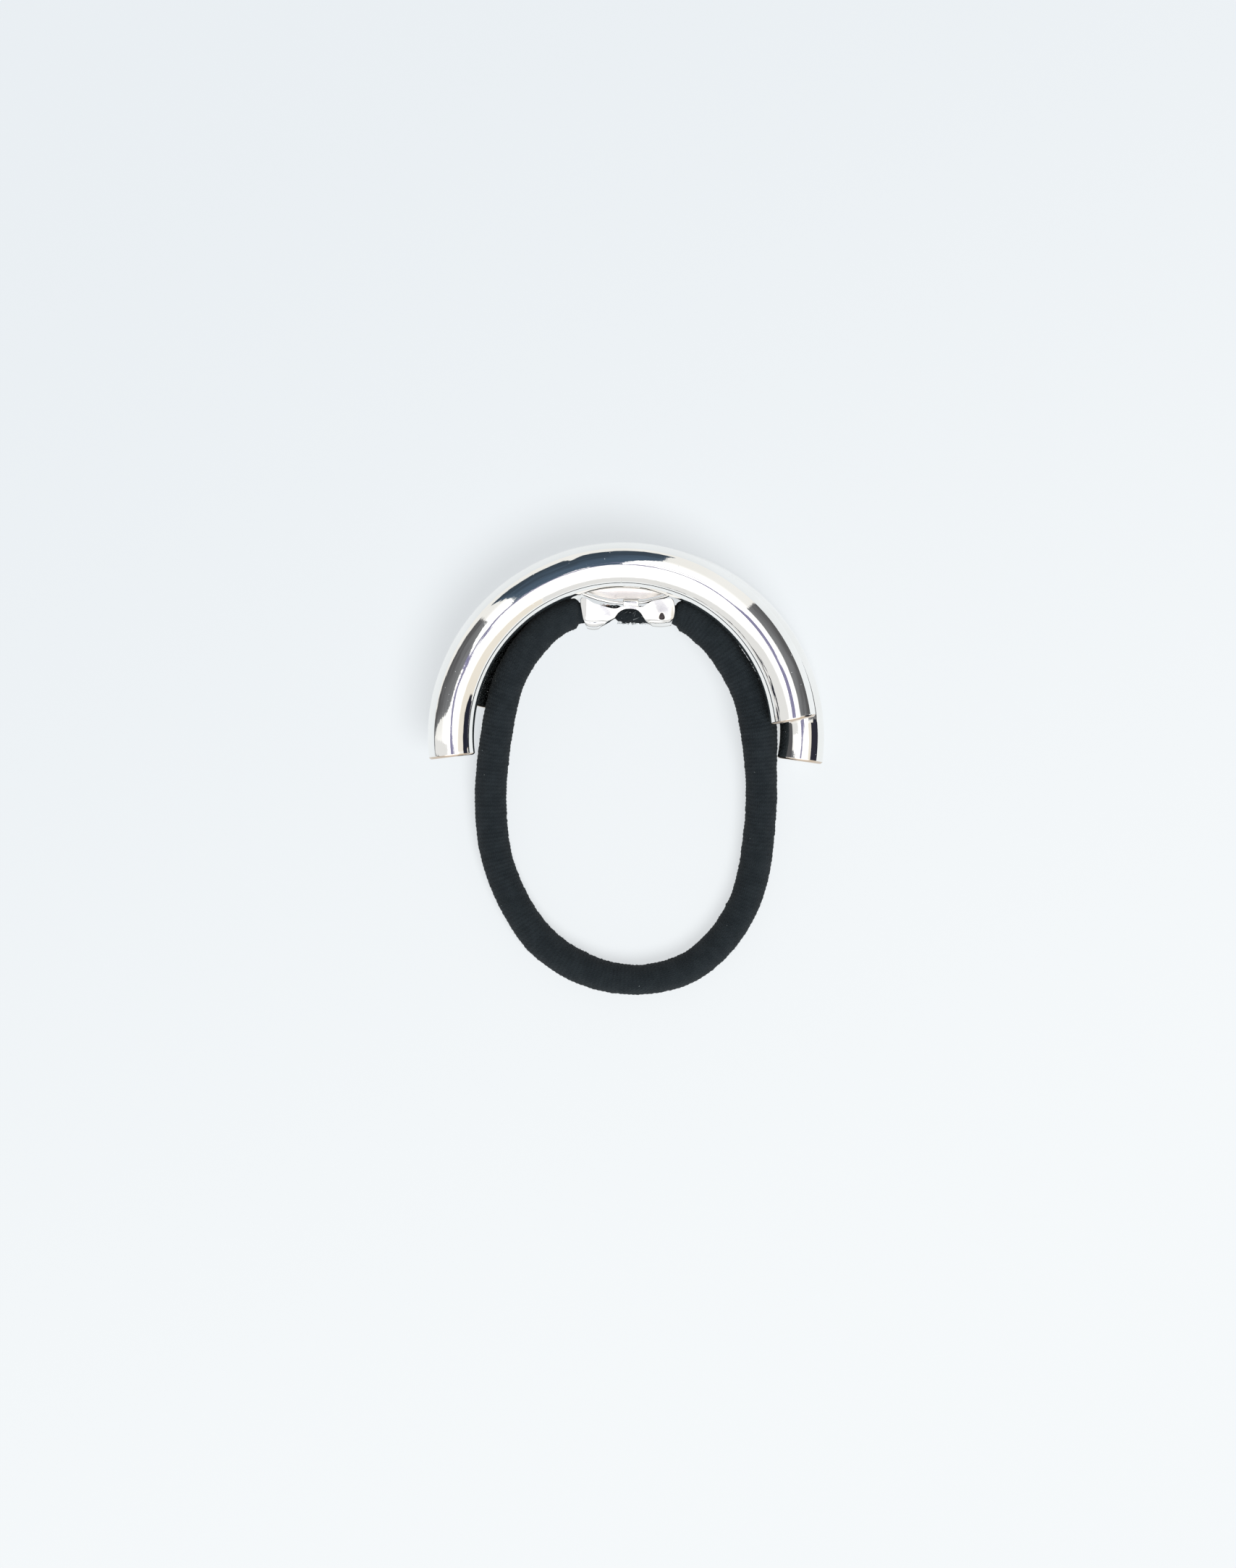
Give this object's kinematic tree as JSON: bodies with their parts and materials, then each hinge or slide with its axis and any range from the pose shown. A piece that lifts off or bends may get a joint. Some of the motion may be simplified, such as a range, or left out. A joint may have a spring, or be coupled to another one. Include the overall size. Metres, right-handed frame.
{
  "type": "ponytail cuff",
  "caption": "Half-ring ponytail cuff of two staggered polished tubes side by side, with a clip inside the bend that grips a round elastic hair loop.",
  "frame": {"origin": "on the surface that the cuff rests on, under the middle of the metal's box", "axes": "+Z along the ponytail, which is up as the cuff lies on its side; +Y from the open side towards the middle of the bend; +X from the left arm to the right arm with the bend away from the viewer"},
  "size_m": [0.0516, 0.0589, 0.012],
  "materials": {
    "polished_plate": "bright mirror plate, slightly warm, with fine handling marks",
    "clip_plate": "bright plated stamped sheet, softly rippled where it is folded",
    "black_knit": "matt near-black knitted sleeve over a rubber core, with fine fuzz"
  },
  "bodies": {
    "root": {"tube_pair": "polished_plate", "elastic_clip": "clip_plate", "elastic_loop": "black_knit"}
  },
  "joints": []
}
